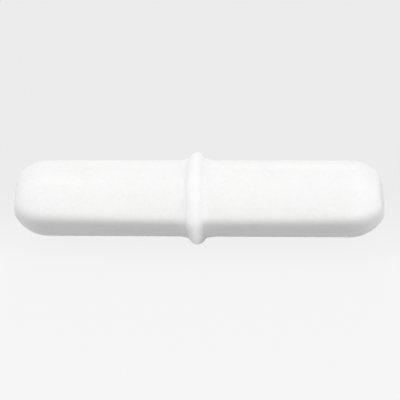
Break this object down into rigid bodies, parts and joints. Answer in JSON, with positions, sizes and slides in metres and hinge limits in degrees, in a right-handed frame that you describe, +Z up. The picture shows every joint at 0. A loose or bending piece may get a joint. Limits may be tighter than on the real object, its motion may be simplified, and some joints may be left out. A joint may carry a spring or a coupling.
{
  "type": "magnetic stir bar",
  "caption": "White magnetic stir bar: a rod magnet sealed in a round plastic jacket with domed ends and a rounded pivot ring at mid-length.",
  "frame": {"origin": "lowest point of the pivot ring, where the bar turns on the vessel's floor, straight below the middle of the bar", "axes": "+X along the bar's axis towards one end, +Y level and square to the bar, +Z up; both nose flats lean towards +Z"},
  "size_m": [0.038, 0.0094, 0.0094],
  "materials": {
    "white_jacket": "satin, waxy white fluoropolymer",
    "magnet_metal": "ground grey magnet alloy"
  },
  "bodies": {
    "root": {"jacket": "white_jacket", "magnet": "magnet_metal"}
  },
  "joints": []
}
